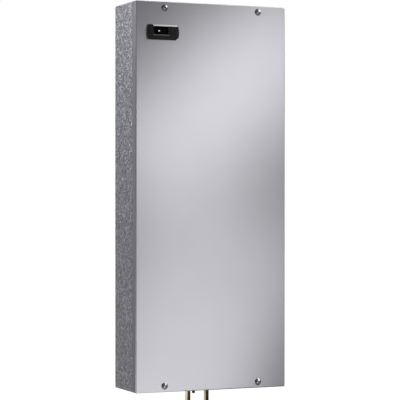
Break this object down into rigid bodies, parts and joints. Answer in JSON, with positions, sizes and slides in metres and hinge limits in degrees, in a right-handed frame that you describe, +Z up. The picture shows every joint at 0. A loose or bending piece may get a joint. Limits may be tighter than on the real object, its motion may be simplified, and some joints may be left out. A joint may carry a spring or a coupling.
{
  "type": "air-to-water heat exchanger",
  "caption": "Tall flat wall-mounted cabinet cooler: stainless front cover, galvanised chassis, small digital controller at the upper left, brass water pipes and a drain below.",
  "frame": {"origin": "centre of the four bolt holes on the rear face, where the unit meets the cabinet wall", "axes": "+X to the right as seen from the front, +Y to the rear into the cabinet, +Z up along the long side"},
  "size_m": [0.4, 0.1572, 0.99],
  "materials": {
    "galvanised_steel": "hot-dip galvanised sheet with a spangle",
    "plated_sheet": "zinc-plated sheet, smooth",
    "stainless_steel": "stainless sheet, fine satin grain",
    "screw_steel": "dark plated screw steel",
    "washer_steel": "bright plated washer",
    "coil_aluminium": "mill finish",
    "wheel_aluminium": "pressed sheet, matt",
    "motor_black": "satin black paint",
    "brass": "bright drawn tube",
    "bezel_plastic": "black moulded plastic",
    "case_plastic": "black moulded plastic",
    "tray_plastic": "dark grey moulded plastic",
    "key_plastic": "dark grey soft-touch plastic",
    "window_plastic": "glossy smoked acrylic",
    "lamp_plastic": "clear bright lens",
    "foam_rubber": "black closed-cell foam",
    "black_rubber": "black moulded rubber",
    "sensor_steel": "bright sleeve"
  },
  "bodies": {
    "unit": {"air_baffle": "plated_sheet", "air_sensor": "sensor_steel", "cable_entry": "black_rubber", "chassis": "galvanised_steel", "coil_end_plate_left": "plated_sheet", "coil_end_plate_right": "plated_sheet", "coil_fins": "coil_aluminium", "coil_tubes": "coil_aluminium", "condensate_tray": "tray_plastic", "controller_bezel": "bezel_plastic", "controller_case": "case_plastic", "controller_clamps": "case_plastic", "controller_terminals": "case_plastic", "cover_gasket": "foam_rubber", "cover_nuts": "screw_steel", "cover_screws": "screw_steel", "cover_washers": "washer_steel", "display_block": "case_plastic", "display_window": "window_plastic", "drain_tube": "black_rubber", "fan_bracket": "plated_sheet", "fan_motor": "motor_black", "front_cover": "stainless_steel", "inlet_guard": "plated_sheet", "inlet_nozzle": "plated_sheet", "key_mat": "black_rubber", "lock_nuts": "brass", "outlet_grille": "plated_sheet", "return_pipe": "brass", "return_tank": "coil_aluminium", "sensor_clip": "tray_plastic", "status_lamp": "lamp_plastic", "supply_pipe": "brass", "supply_riser": "brass", "supply_tank": "coil_aluminium", "terminal_block": "tray_plastic", "top_tank": "coil_aluminium", "valve_body": "brass", "valve_solenoid": "case_plastic", "wall_seal": "foam_rubber"},
    "fan": {"fan_wheel": "wheel_aluminium", "fan_rotor": "motor_black"},
    "key_up": {"key_up": "key_plastic"},
    "key_set": {"key_set": "key_plastic"},
    "key_down": {"key_down": "key_plastic"}
  },
  "joints": [
    {"name": "fan_spin", "type": "hinge", "parent": "unit", "child": "fan", "pos_m": [0, -0.1, 0.26], "axis": [0, 1, 0], "continuous": true},
    {"name": "key_up_press", "type": "slide", "parent": "unit", "child": "key_up", "axis": [0, 1, 0], "range_m": [0, 0.0008], "stiffness_N_per_m": 800},
    {"name": "key_set_press", "type": "slide", "parent": "unit", "child": "key_set", "axis": [0, 1, 0], "range_m": [0, 0.0008], "stiffness_N_per_m": 800},
    {"name": "key_down_press", "type": "slide", "parent": "unit", "child": "key_down", "axis": [0, 1, 0], "range_m": [0, 0.0008], "stiffness_N_per_m": 800}
  ]
}
